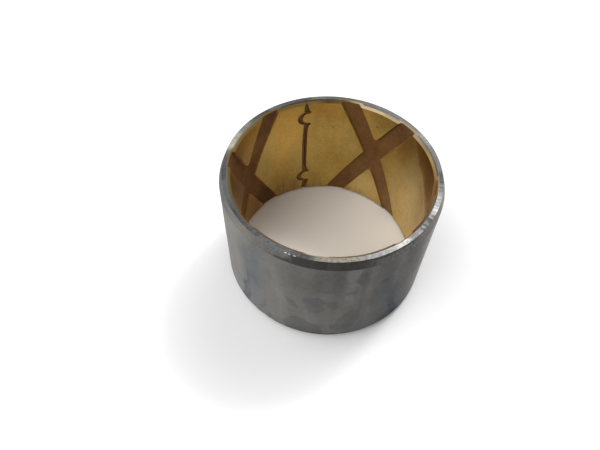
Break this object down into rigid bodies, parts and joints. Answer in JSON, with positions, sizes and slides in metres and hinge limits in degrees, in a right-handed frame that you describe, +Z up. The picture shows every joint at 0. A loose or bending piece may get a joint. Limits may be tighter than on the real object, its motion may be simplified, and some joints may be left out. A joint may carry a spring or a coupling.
{
  "type": "grooved bimetal bushing",
  "caption": "Wrapped steel-backed bronze-lined bushing with wide crossed oil grooves in the bore and a clinched tab-and-socket butt joint.",
  "frame": {"origin": "centre of the bore, in the plane of the lower end face", "axes": "+Z up along the bore axis; +Y towards the joint of the wrapped strip"},
  "size_m": [0.1, 0.1, 0.065],
  "materials": {
    "steel": "turned, dull grey with faint staining",
    "bronze": "turned, satin, brown in the pressed grooves"
  },
  "bodies": {
    "root": {"steel_backing": "steel", "bronze_lining": "bronze"}
  },
  "joints": []
}
